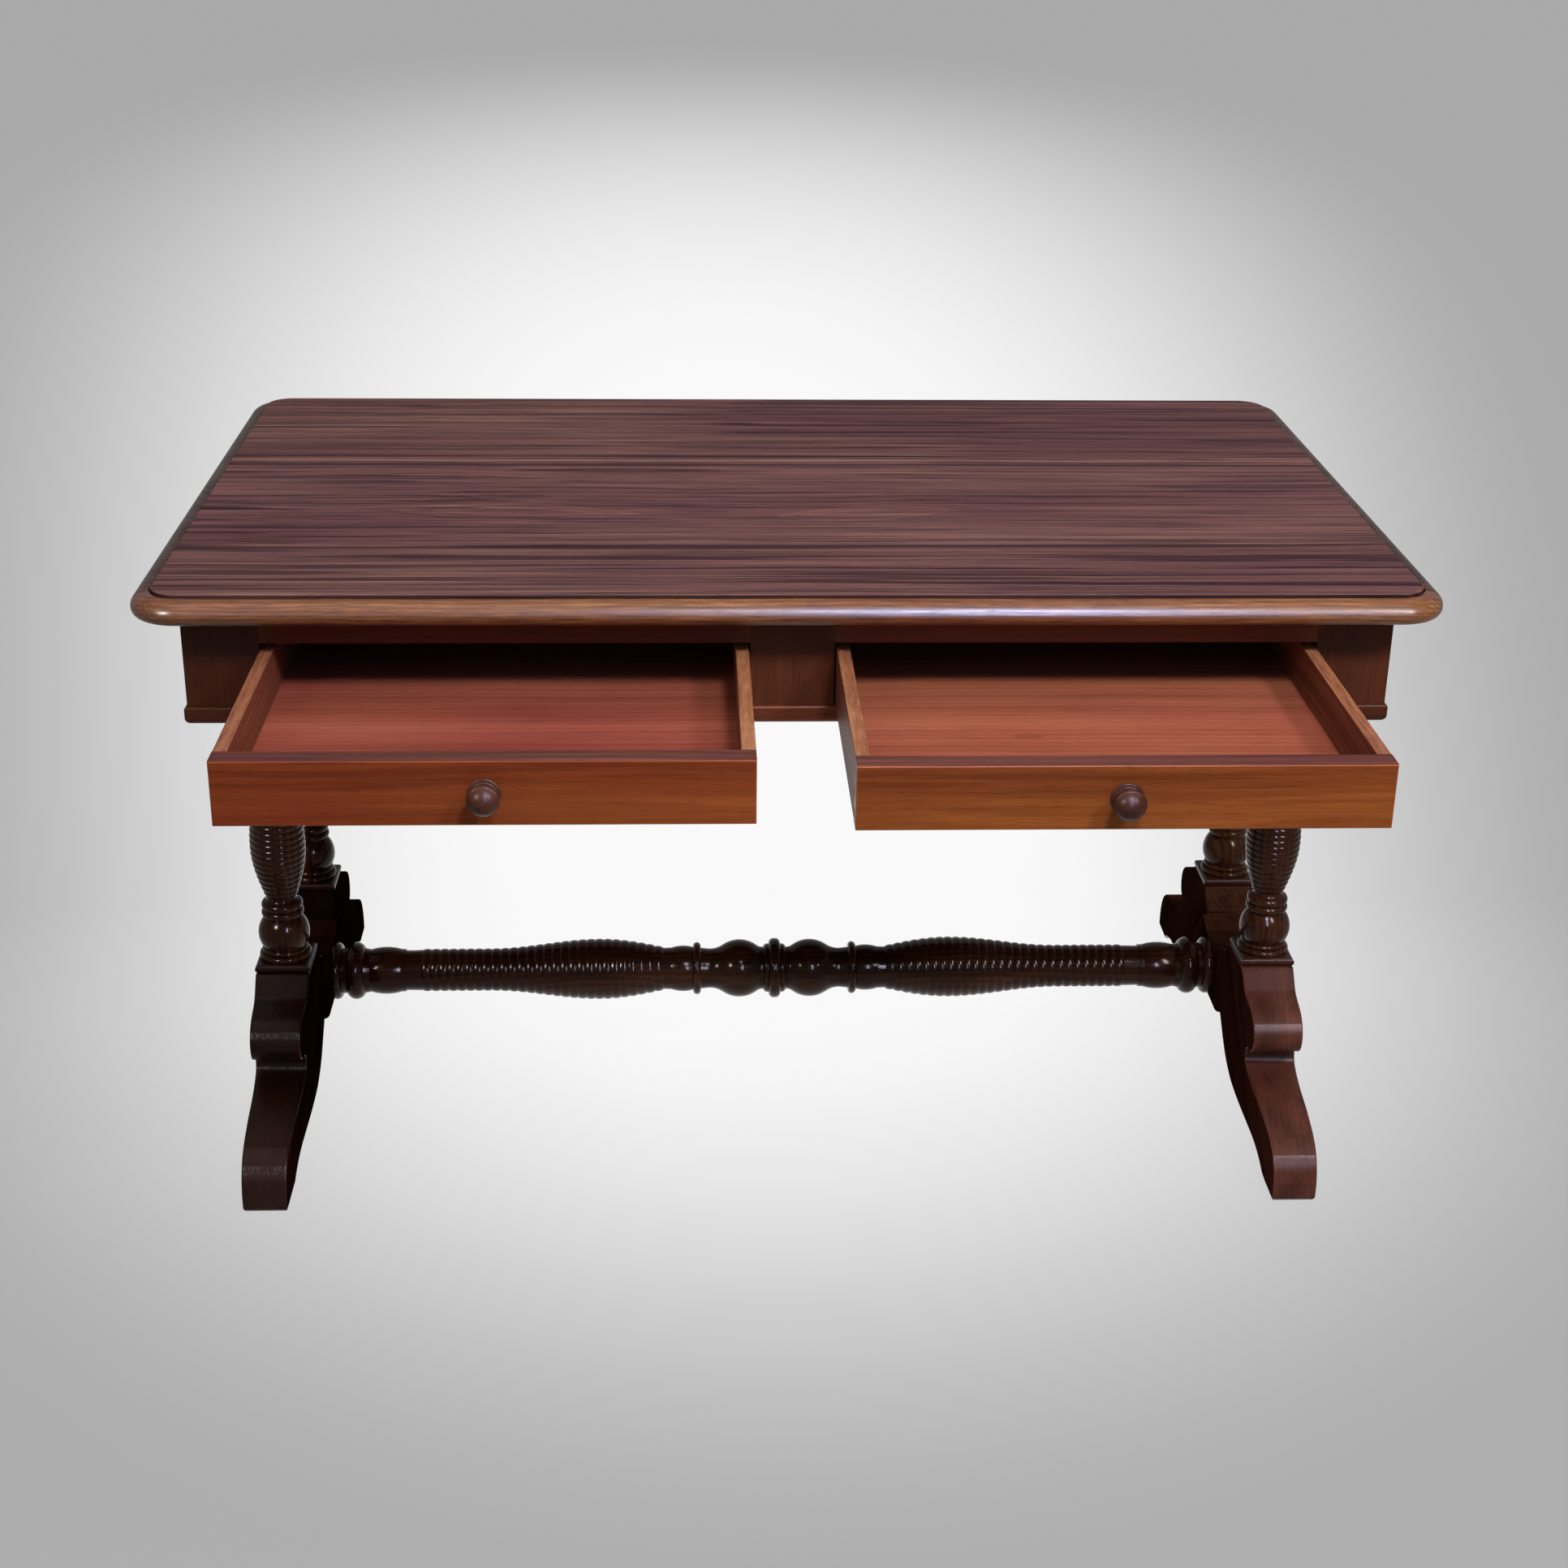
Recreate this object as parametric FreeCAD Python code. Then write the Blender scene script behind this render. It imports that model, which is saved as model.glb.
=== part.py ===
import FreeCAD, Part
import math
import os

V = FreeCAD.Vector
origin = V(0, 0, 0)
along_x = V(1, 0, 0)
along_y = V(0, 1, 0)
along_z = V(0, 0, 1)
full_turn = 360
half_turn = 180
quarter_turn = 90

# The whole table, in millimetres: x runs along the front, y to the back, z up from the floor
table_width = 1350.0
table_depth = 850.0
table_height = 762.0

# Fits
glue_gap = 0.1          # round a tenon or a screw in its hole
running_gap = 0.4       # under a drawer, and behind a closed drawer front
overrun = 6.0           # a cutting shape passes the face that it cuts by this much

# Top: three boards with a raised field and a rounded nose
top_thickness = 28.0
top_corner_radius = 52.0
edge_mould_width = 21.0
field_step = 3.5
front_board_width = 190.0
rear_board_width = 328.0
nose_upper_share = 0.66         # of the nose's height
nose_lower_share = 0.28

# Frieze box under the top
top_side_overhang = 47.0        # past the frieze, at each end
top_front_overhang = 51.0       # past the frieze, at the front and back
frieze_height = 124.0
frieze_front_thickness = 26.0
apron_thickness = 22.0
end_stile_width = 79.0
centre_stile_width = 88.0

# Lower rail of the front, with a bead that is carried round the box
bead_height = 20.0
bead_projection = 3.0
drawer_rail_depth = 67.0
bead_lower_share = 0.42         # of the bead's height

# Runners, guides and kickers inside the frieze
side_runner_width = 76.0
centre_runner_width = 124.0
guide_height = 40.0
corner_block_size = 35.0
stop_length = 40.0
stop_depth = 25.0
stop_height = 5.0
stop_place_shares = (0.25, 0.75)        # of a drawer's width

# Drawers
drawer_height = 64.5
drawer_head_gap = 4.5
drawer_side_gap = 1.5
drawer_rear_room = 68.0         # how much shorter a drawer is than the frieze
drawer_front_thickness = 26.0
drawer_side_thickness = 14.0
drawer_back_thickness = 14.0
drawer_bottom_thickness = 7.0
drawer_bottom_rise = 8.0
drawer_groove_depth = 6.0
drawer_front_edge_radius = 1.5
tail_length = 18.0
tail_count = 3
tail_root_share = 0.44          # of the height that one tail takes
tail_end_share = 0.66
left_drawer_pull = 306.0
right_drawer_pull = 322.0

# Knobs
knob_length = 29.0
knob_radius = 16.0
knob_tenon_radius = 5.0
knob_tenon_length = 17.0

# End supports: two posts on a pair of scrolled legs at each end
trestle_inset = 33.5            # from the end of the frieze to the middle of the support
post_spacing = 225.0
post_radius = 33.0
post_rib_count = 32
post_tenon_radius = 13.0
post_foot_tenon_length = 34.0
post_head_tenon_length = 30.0
plinth_size = 65.0
plinth_thickness = 10.0
plinth_edge_share = 0.46        # rounding of the plinth's edge, of its thickness
bearer_length = 400.0
bearer_width = 70.0
bearer_height = 42.0
bearer_step_share = 0.45        # square part of the bearer's end, of its height
bearer_cove_share = 0.08        # length of the cove at its end, of its length

# Legs and the block between them
shoulder_height = 198.0
saddle_height = 160.0
toe_inset = 64.0                # from the edge of the top to the toe under it
leg_thickness = 64.0
toe_thickness = 51.0
centre_block_depth = 100.0
centre_block_thickness = 75.0
centre_block_bottom = 84.0
centre_block_rounding = 9.0
leg_tenon_length = 25.0
leg_tenon_height = 44.0
leg_tenon_thickness = 20.0

# Stretcher between the two ends
stretcher_height = 126.0
stretcher_radius = 38.5
stretcher_rib_count = 28
stretcher_tenon_radius = 16.0
stretcher_tenon_length = 32.0

# Wood screws
screw_radius = 2.4
screw_head_radius = 4.8
screw_head_height = 2.6
screw_bite = 14.0               # how far a screw enters the piece that it holds
screw_place_shares = (0.12, 0.5, 0.88)          # along a kicker
bearer_screw_share = 0.82       # along half a bearer

# Outline of a leg beyond its plinth seat: share of the way from the seat to the toe, share of its height
scroll_shares = ((0.037, 0.970), (0.106, 0.902), (0.231, 0.864), (0.337, 0.812), (0.380, 0.730),
                 (0.364, 0.640), (0.307, 0.604))
notch_shares = ((0.238, 0.548), (0.272, 0.482))
instep_shares = ((0.352, 0.450), (0.463, 0.424), (0.588, 0.407), (0.718, 0.381), (0.833, 0.346),
                 (0.921, 0.290), (0.975, 0.210), (1.0, 0.110))
toe_shares = ((0.990, 0.024), (0.958, 0.0))
# Underside of a leg: share of its reach from the middle of the support, share of its height
sole_end_share = 0.897
arch_shares = ((0.831, 0.076), (0.748, 0.126), (0.651, 0.146), (0.554, 0.159), (0.457, 0.180),
               (0.360, 0.222), (0.291, 0.276), (0.222, 0.369), (0.166, 0.455))
leg_root_share = 0.500          # height of the underside where the leg meets the block

# How far each kind of turned edge stands out from its chord, as a share of the chord
bulge_shares = {"line": 0.0, "hollow": -0.10, "cove": -0.20, "swell": 0.075, "belly": 0.16, "ball": 0.18,
                "round": 0.20, "bead": 0.34, "ribs": 0.17, "fine_ribs": 0.12}
# Turned outlines: kind of edge, share of the length, share of the radius
post_shares = (("line", 0.0, 0.86), ("bead", 0.021, 0.84), ("line", 0.021, 0.76), ("bead", 0.038, 0.76),
               ("ball", 0.148, 0.64), ("bead", 0.177, 0.66), ("bead", 0.206, 0.60), ("cove", 0.225, 0.54),
               ("ribs", 0.893, 0.62), ("bead", 0.912, 0.62), ("line", 0.918, 0.56), ("ball", 0.958, 0.66),
               ("bead", 0.976, 0.78), ("bead", 1.0, 0.84))
stretcher_shares = (("line", 0.0, 0.98), ("round", 0.013, 0.86), ("line", 0.013, 0.80),
                    ("round", 0.026, 0.70), ("hollow", 0.040, 0.76), ("belly", 0.118, 0.78),
                    ("hollow", 0.157, 0.66), ("line", 0.168, 0.68), ("line", 0.168, 0.78),
                    ("bead", 0.185, 0.78), ("line", 0.185, 0.71), ("swell", 0.235, 0.69),
                    ("line", 0.252, 0.68), ("fine_ribs", 0.798, 0.665), ("line", 0.836, 0.655),
                    ("line", 0.836, 0.70), ("line", 0.845, 0.70), ("swell", 0.915, 0.70),
                    ("line", 0.928, 0.74), ("bead", 0.968, 0.74), ("line", 0.978, 0.74), ("bead", 1.0, 0.88))
knob_shares = (("line", 0.0, 0.92), ("bead", 0.10, 0.90), ("line", 0.11, 0.78), ("bead", 0.19, 0.76),
               ("line", 0.20, 0.62), ("cove", 0.38, 0.62), ("bead", 0.53, 0.84), ("bead", 0.70, 0.88),
               ("dome", 1.0, 0.0))
# Radius of a ribbed vase between its ribs, of the whole radius
vase_belly_shares = {"ribs": 0.95, "fine_ribs": 0.965}
vase_belly_place_share = 0.265  # place of the belly along the vase
vase_taper_share = 0.72         # place along the vase where its taper ends in a straight neck

# Heights and places that follow from the sizes above
frieze_width = table_width - 2 * top_side_overhang
frieze_depth = table_depth - 2 * top_front_overhang
drawer_length = frieze_depth - drawer_rear_room
leg_reach = table_depth / 2 - toe_inset
frieze_top = table_height - top_thickness
frieze_bottom = frieze_top - frieze_height
rail_top = frieze_bottom + bead_height
drawer_bottom_z = rail_top + running_gap
drawer_top_z = drawer_bottom_z + drawer_height
opening_top = drawer_top_z + drawer_head_gap
guide_top = rail_top + guide_height
frieze_front_y = -frieze_depth / 2
frieze_back_y = frieze_depth / 2
front_inner_y = frieze_front_y + frieze_front_thickness
back_inner_y = frieze_back_y - apron_thickness
rail_back_y = frieze_front_y + drawer_rail_depth
frieze_side_x = frieze_width / 2
apron_inner_x = frieze_side_x - apron_thickness
opening_outer_x = frieze_side_x - end_stile_width
opening_inner_x = centre_stile_width / 2
trestle_x = frieze_side_x - trestle_inset
post_y = post_spacing / 2
seat_inner = post_y - plinth_size / 2
seat_outer = post_y + plinth_size / 2
post_foot_z = shoulder_height + plinth_thickness
bearer_bottom = frieze_bottom - bearer_height
post_length = bearer_bottom - post_foot_z
block_face_x = trestle_x - centre_block_thickness / 2
kicker_height = frieze_top - opening_top
drawer_pulls = {"left": left_drawer_pull, "right": right_drawer_pull}
sides = (("left", -1), ("right", 1))
ends = (("front", -1), ("rear", 1))

# The origin lies on the floor, midway between the foremost knob and the rear edge of the top
foremost_y = frieze_front_y - max(left_drawer_pull, right_drawer_pull) - knob_length
table_centre_y = -(foremost_y + table_depth / 2) / 2

pieces = {}


def box(xs, ys, zs):
    """Box between two x, two y and two z values, in either order."""
    low = V(min(xs), min(ys), min(zs))
    size = V(max(xs), max(ys), max(zs)) - low
    return Part.makeBox(size.x, size.y, size.z, low)


def prism(points, path):
    """Straight prism over a polygon."""
    return Part.Face(Part.makePolygon(list(points) + [points[0]])).extrude(path)


def curve(points):
    """Smooth edge through points."""
    spline = Part.BSplineCurve()
    spline.interpolate(points)
    return spline.toShape()


def edges_at(shape, keep):
    """Edges of a shape whose ends both satisfy a test."""
    return [edge for edge in shape.Edges if all(keep(vertex.Point) for vertex in edge.Vertexes)]


def near(first, second):
    return abs(first - second) < glue_gap


# Turned work

def turned_edge(start, end, bulge_share):
    """One edge of a turned outline in the plane of x and z: a line, or an arc that bulges outward."""
    if bulge_share == 0:
        return Part.makeLine(start, end)
    chord = end - start
    middle = (start + end) / 2 + V(chord.z, 0, -chord.x) * bulge_share
    return Part.Arc(start, middle, end).toShape()


def dome_edge(start, top):
    """Arc from a point of a turned outline to the axis, which it meets squarely."""
    rise = top.z - start.z
    radius = (start.x ** 2 + rise ** 2) / (2 * rise)
    half_angle = math.asin(start.x / radius) / 2
    middle = V(radius * math.sin(half_angle), 0, top.z - radius * (1 - math.cos(half_angle)))
    return Part.Arc(start, middle, top).toShape()


def vase_radius(share, foot_radius, belly_radius, head_radius):
    """Radius along a vase that swells quickly to its belly, then tapers slowly into a straight neck."""
    if share < vase_belly_place_share:
        swell = math.sin(math.pi / 2 * share / vase_belly_place_share)
        return foot_radius + (belly_radius - foot_radius) * swell
    tapered = min((share - vase_belly_place_share) / (vase_taper_share - vase_belly_place_share), 1)
    taper = math.cos(math.pi / 2 * tapered)
    return head_radius + (belly_radius - head_radius) * taper ** 2


def ribbed_vase(kind, start, end, radius, rib_count):
    """Edges of a vase cut into ribs, each rib a small arc."""
    points = []
    for rib in range(rib_count + 1):
        share = rib / rib_count
        rib_radius = vase_radius(share, start.x, radius * vase_belly_shares[kind], end.x)
        points.append(V(rib_radius, 0, start.z + (end.z - start.z) * share))
    return [turned_edge(a, b, bulge_shares[kind]) for a, b in zip(points, points[1:])]


def turned(stations, length, radius, rib_count=0):
    """Turned solid about the z axis, from its foot at zero to its length."""
    edges = []
    point = origin
    for kind, length_share, radius_share in stations:
        end = V(radius * radius_share, 0, length * length_share)
        if kind in vase_belly_shares:
            edges += ribbed_vase(kind, point, end, radius, rib_count)
        elif kind == "dome":
            edges.append(dome_edge(point, end))
        else:
            edges.append(turned_edge(point, end, bulge_shares[kind]))
        point = end
    head = V(0, 0, length)
    if point.x > 0:
        edges.append(Part.makeLine(point, head))
    edges.append(Part.makeLine(head, origin))
    return Part.Face(Part.Wire(edges)).revolve(origin, along_z, full_turn)


def screw(place, length, gap=0.0):
    """Countersunk screw that points up from its head, or its hole when a gap is given."""
    head = Part.makeCone(screw_head_radius + gap, screw_radius + gap, screw_head_height, place, along_z)
    shank = Part.makeCylinder(screw_radius + gap, length + gap, place, along_z)
    return head.fuse(shank).removeSplitter()


# Top

def kicker_places():
    """Name, inner and outer x of the three kickers, which line up with the runners."""
    half = centre_runner_width / 2
    inner = apron_inner_x - side_runner_width
    return (("left", -apron_inner_x, -inner), ("centre", -half, half), ("right", inner, apron_inner_x))


def top_screws(gap=0.0):
    """Screws up through each kicker into the top."""
    solids = []
    for name, low_x, high_x in kicker_places():
        for share in screw_place_shares:
            y = front_inner_y + (back_inner_y - front_inner_y) * share
            place = V((low_x + high_x) / 2, y, opening_top)
            solids.append(screw(place, kicker_height + screw_bite, gap))
    return solids


def rounded_slab(width, depth, radius, low_z, high_z):
    """Flat slab with rounded corners, centred on the table."""
    slab = box((-width / 2, width / 2), (-depth / 2, depth / 2), (low_z, high_z))
    corners = [edge for edge in slab.Edges if near(edge.Length, high_z - low_z)]
    return slab.makeFillet(radius, corners)


def moulded_top():
    """Whole top: a slab with a rounded nose and the raised field on it."""
    nose_top = table_height - field_step
    nose_height = nose_top - frieze_top
    slab = rounded_slab(table_width, table_depth, top_corner_radius, frieze_top, nose_top)
    upper = edges_at(slab, lambda point: near(point.z, nose_top))
    slab = slab.makeFillet(min(nose_height * nose_upper_share, edge_mould_width), upper)
    lower = edges_at(slab, lambda point: near(point.z, frieze_top))
    slab = slab.makeFillet(nose_height * nose_lower_share, lower)
    inset = 2 * edge_mould_width
    field_radius = top_corner_radius - edge_mould_width
    field = rounded_slab(table_width - inset, table_depth - inset, field_radius, nose_top, table_height)
    return slab.fuse(field).removeSplitter()


def make_top():
    top = moulded_top().cut(Part.makeCompound(top_screws(glue_gap)))
    joints = (-table_depth / 2, -table_depth / 2 + front_board_width, table_depth / 2 - rear_board_width,
              table_depth / 2)
    xs = (-table_width / 2, table_width / 2)
    zs = (frieze_top, table_height)
    for name, front_y, rear_y in zip(("front", "middle", "rear"), joints, joints[1:]):
        pieces[name + "_top_board"] = top.common(box(xs, (front_y, rear_y), zs))
    pieces["top_screws"] = Part.makeCompound(top_screws())


# Frieze

def nosed_bar(length, depth):
    """Bar along x with its rounded nose at y = 0, as high as the bead."""
    upper = bead_projection
    lower = bead_height * bead_lower_share
    bar = box((-length / 2, length / 2), (0, depth), (frieze_bottom, rail_top))
    upper_edge = edges_at(bar, lambda point: near(point.y, 0) and near(point.z, rail_top))
    lower_edge = edges_at(bar, lambda point: near(point.y, 0) and near(point.z, frieze_bottom))
    return bar.makeFillet(upper, upper_edge).makeFillet(lower, lower_edge)


def mitred(bar, corners):
    """What of a bar lies over a plan outline."""
    points = [V(x, y, frieze_bottom) for x, y in corners]
    return bar.common(prism(points, V(0, 0, bead_height)))


def make_bead():
    """Drawer rail, end mouldings and back moulding, mitred at the corners."""
    outer_x = frieze_side_x + bead_projection
    front_y = frieze_front_y - bead_projection
    back_y = frieze_back_y + bead_projection
    front = nosed_bar(2 * outer_x, drawer_rail_depth + bead_projection)
    front.translate(V(0, front_y, 0))
    inner_front = frieze_front_y + apron_thickness
    pieces["front_drawer_rail"] = mitred(front, (
        (-outer_x, front_y), (outer_x, front_y), (apron_inner_x, inner_front), (apron_inner_x, rail_back_y),
        (-apron_inner_x, rail_back_y), (-apron_inner_x, inner_front)))
    back = nosed_bar(2 * outer_x, apron_thickness + bead_projection)
    back.rotate(origin, along_z, half_turn)
    back.translate(V(0, back_y, 0))
    pieces["back_moulding"] = mitred(back, (
        (-outer_x, back_y), (-apron_inner_x, back_inner_y), (apron_inner_x, back_inner_y), (outer_x, back_y)))
    for name, side in sides:
        end = nosed_bar(back_y - front_y, apron_thickness + bead_projection)
        end.rotate(origin, along_z, side * quarter_turn)
        end.translate(V(side * outer_x, 0, 0))
        pieces[name + "_end_moulding"] = mitred(end, (
            (side * outer_x, front_y), (side * apron_inner_x, inner_front), (side * apron_inner_x, back_inner_y),
            (side * outer_x, back_y)))


def make_frieze():
    """Stiles and rails of the front, and the aprons of the ends and back."""
    front = (frieze_front_y, front_inner_y)
    heights = (rail_top, frieze_top)
    pieces["centre_stile"] = box((-opening_inner_x, opening_inner_x), front, heights)
    pieces["back_apron"] = box((-apron_inner_x, apron_inner_x), (back_inner_y, frieze_back_y), heights)
    for name, side in sides:
        stile = (side * opening_outer_x, side * frieze_side_x)
        rail = (side * opening_inner_x, side * opening_outer_x)
        apron = (side * apron_inner_x, side * frieze_side_x)
        pieces[name + "_end_stile"] = box(stile, front, heights)
        pieces[name + "_top_rail"] = box(rail, front, (opening_top, frieze_top))
        pieces[name + "_end_apron"] = box(apron, (front_inner_y, frieze_back_y), heights)


def bearer_screws(gap=0.0):
    """Screws up through the bearers into the side runners."""
    solids = []
    x = (apron_inner_x + trestle_x - bearer_width / 2) / 2
    for name, side in sides:
        for end_name, end in ends:
            place = V(side * x, end * bearer_length / 2 * bearer_screw_share, bearer_bottom)
            solids.append(screw(place, bearer_height + screw_bite, gap))
    return solids


def make_drawer_bed():
    """Runners, guides, kickers, glue blocks and stops inside the frieze."""
    holes = Part.makeCompound(bearer_screws(glue_gap))
    kicker_holes = Part.makeCompound(top_screws(glue_gap))
    long_way = (front_inner_y, back_inner_y)
    for name, low_x, high_x in kicker_places():
        runner = box((low_x, high_x), (rail_back_y, back_inner_y), (frieze_bottom, rail_top))
        kicker = box((low_x, high_x), long_way, (opening_top, frieze_top))
        pieces[name + "_runner"] = runner.cut(holes)
        pieces[name + "_kicker"] = kicker.cut(kicker_holes)
    guide_heights = (rail_top, guide_top)
    pieces["centre_guide"] = box((-opening_inner_x, opening_inner_x), long_way, guide_heights)
    blocks = []
    for name, side in sides:
        pieces[name + "_guide"] = box((side * opening_outer_x, side * apron_inner_x), long_way, guide_heights)
        block_x = (side * (apron_inner_x - corner_block_size), side * apron_inner_x)
        for face_y, turn in ((front_inner_y, 1), (back_inner_y, -1)):
            block_y = (face_y, face_y + turn * corner_block_size)
            blocks.append(box(block_x, block_y, (guide_top, opening_top)))
    pieces["corner_blocks"] = Part.makeCompound(blocks)
    pieces["drawer_stops"] = Part.makeCompound(drawer_stops())


def drawer_stops():
    """Low blocks on the drawer rail, which a closed drawer front meets from the front."""
    face_y = frieze_front_y + drawer_front_thickness + running_gap
    stops = []
    for name, side in sides:
        for share in stop_place_shares:
            x = side * (opening_inner_x + (opening_outer_x - opening_inner_x) * share)
            stops.append(box((x - stop_length / 2, x + stop_length / 2), (face_y, face_y + stop_depth),
                             (rail_top, rail_top + stop_height)))
    return stops


# Drawers

def drawer_tails(face_x, thickness_x, root_y):
    """Dovetails on the front end of a drawer side."""
    pitch = drawer_height / tail_count
    tails = []
    for tail in range(tail_count):
        middle = drawer_bottom_z + pitch * (tail + 1 / 2)
        root = pitch * tail_root_share / 2
        tip = pitch * tail_end_share / 2
        tip_y = root_y - tail_length
        points = (V(face_x, root_y, middle - root), V(face_x, tip_y, middle - tip),
                  V(face_x, tip_y, middle + tip), V(face_x, root_y, middle + root))
        tails.append(prism(points, V(thickness_x, 0, 0)))
    return tails


def knob(place):
    """Turned knob that points to the front, with a tenon behind it."""
    shape = turned(knob_shares, knob_length, knob_radius)
    tenon = Part.makeCylinder(knob_tenon_radius, knob_tenon_length, V(0, 0, -knob_tenon_length), along_z)
    shape = shape.fuse(tenon).removeSplitter()
    shape.rotate(origin, along_x, quarter_turn)
    shape.translate(place)
    return shape


def make_drawer(name, side):
    """One drawer, drawn out by its own distance."""
    front_y = frieze_front_y - drawer_pulls[name]
    root_y = front_y + drawer_front_thickness
    end_y = front_y + drawer_length
    xs = sorted((side * (opening_inner_x + drawer_side_gap), side * (opening_outer_x - drawer_side_gap)))
    heights = (drawer_bottom_z, drawer_top_z)
    floor_low = drawer_bottom_z + drawer_bottom_rise
    floor_high = floor_low + drawer_bottom_thickness
    inner = (xs[0] + drawer_side_thickness, xs[1] - drawer_side_thickness)
    grooved = (inner[0] - drawer_groove_depth, inner[1] + drawer_groove_depth)
    bottom = box(grooved, (root_y - drawer_groove_depth, end_y), (floor_low, floor_high))
    back_ys = (end_y - 2 * drawer_back_thickness, end_y - drawer_back_thickness)
    back = box(grooved, back_ys, (floor_high, drawer_top_z))
    left = box((xs[0], inner[0]), (root_y, end_y), heights)
    left = left.fuse(drawer_tails(xs[0], drawer_side_thickness, root_y)).removeSplitter()
    right = box((inner[1], xs[1]), (root_y, end_y), heights)
    right = right.fuse(drawer_tails(inner[1], drawer_side_thickness, root_y)).removeSplitter()
    front = box(xs, (front_y, root_y), heights)
    front = front.makeFillet(drawer_front_edge_radius, edges_at(front, lambda point: near(point.y, front_y)))
    place = V((xs[0] + xs[1]) / 2, front_y, (drawer_bottom_z + drawer_top_z) / 2)
    hole = Part.makeCylinder(knob_tenon_radius + glue_gap, knob_tenon_length + glue_gap, place, along_y)
    pieces[name + "_drawer_front"] = front.cut([left, right, bottom, hole])
    pieces[name + "_drawer_left_side"] = left.cut([bottom, back])
    pieces[name + "_drawer_right_side"] = right.cut([bottom, back])
    pieces[name + "_drawer_back"] = back
    pieces[name + "_drawer_bottom"] = bottom
    pieces[name + "_drawer_knob"] = knob(place)


# End supports

def make_post():
    """Ring-turned post on its plinth at the table's middle, with a round tenon at its foot and head."""
    post = turned(post_shares, post_length, post_radius, post_rib_count)
    foot_end = V(0, 0, -post_foot_tenon_length)
    foot = Part.makeCylinder(post_tenon_radius, post_foot_tenon_length, foot_end, along_z)
    head = Part.makeCylinder(post_tenon_radius, post_head_tenon_length, V(0, 0, post_length), along_z)
    post = post.fuse([foot, head]).removeSplitter()
    post.translate(V(0, 0, post_foot_z))
    return post


def post_hole():
    """Room for a post's tenons, one long bore from the shoulder of a leg to the bearer."""
    depth = post_foot_tenon_length + glue_gap
    length = post_length + depth + post_head_tenon_length + glue_gap
    return Part.makeCylinder(post_tenon_radius + glue_gap, length, V(0, 0, post_foot_z - depth), along_z)


def make_plinth():
    """Square plinth with a rounded edge and a bore for the post's tenon."""
    half = plinth_size / 2
    plinth = box((-half, half), (-half, half), (shoulder_height, post_foot_z))
    rims = edges_at(plinth, lambda point: near(point.z, shoulder_height))
    rims += edges_at(plinth, lambda point: near(point.z, post_foot_z))
    return plinth.makeFillet(plinth_thickness * plinth_edge_share, rims).cut(post_hole())


def beyond_seat(shares):
    """Points of a leg's upper outline, given from the plinth seat to the toe."""
    span = leg_reach - seat_outer
    return [V(0, seat_outer + span * out, shoulder_height * rise) for out, rise in shares]


def under_leg(shares):
    """Points of a leg's underside, given from the middle of the support."""
    return [V(0, leg_reach * out, shoulder_height * rise) for out, rise in shares]


def leg_outline():
    """Outline of a leg seen from the side: shoulder, scroll, notch, instep, toe, sole and arch."""
    root_y = centre_block_depth / 2
    top_inner = V(0, root_y, shoulder_height)
    top_outer = V(0, seat_outer, shoulder_height)
    scroll = [top_outer] + beyond_seat(scroll_shares)
    notch = [scroll[-1]] + beyond_seat(notch_shares)
    instep = [notch[-1]] + beyond_seat(instep_shares)
    toe = [instep[-1]] + beyond_seat(toe_shares)
    sole_end = V(0, leg_reach * sole_end_share, 0)
    root = V(0, root_y, shoulder_height * leg_root_share)
    arch = [sole_end] + under_leg(arch_shares) + [root]
    edges = [Part.makeLine(top_inner, top_outer), curve(scroll), Part.Arc(*notch).toShape(), curve(instep),
             Part.Arc(*toe).toShape(), Part.makeLine(toe[-1], sole_end), curve(arch),
             Part.makeLine(root, top_inner)]
    return Part.Wire(edges)


def saddle():
    """Cylinder that hollows the top between the two plinth seats."""
    depth = shoulder_height - saddle_height
    radius = (seat_inner ** 2 + depth ** 2) / (2 * depth)
    width = centre_block_thickness + 2 * overrun
    return Part.makeCylinder(radius, width, V(-width / 2, 0, saddle_height + radius), along_x)


def leg_plan():
    """Plan of a leg, which narrows from its plinth to the toe, as a tall prism."""
    shoulder = leg_thickness / 2
    toe = toe_thickness / 2
    points = (V(-shoulder, 0, 0), V(-shoulder, seat_outer, 0), V(-toe, leg_reach, 0), V(toe, leg_reach, 0),
              V(shoulder, seat_outer, 0), V(shoulder, 0, 0))
    return prism(points, V(0, 0, shoulder_height))


def leg_tenon(gap=0.0):
    """Tenon of a leg in the centre block, or its mortise when a gap is given."""
    root_y = centre_block_depth / 2
    half = leg_tenon_thickness / 2 + gap
    rise = leg_tenon_height / 2 + gap
    return box((-half, half), (root_y - leg_tenon_length - gap, root_y),
               (stretcher_height - rise, stretcher_height + rise))


def make_leg():
    """Leg that points to the back, with its tenon towards the middle of the support."""
    outline = leg_outline()
    outline.translate(V(-leg_thickness / 2, 0, 0))
    leg = Part.Face(outline).extrude(V(leg_thickness, 0, 0)).common(leg_plan())
    hole = post_hole()
    hole.translate(V(0, post_y, 0))
    return leg.cut([saddle(), hole]).fuse(leg_tenon()).removeSplitter()


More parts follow.
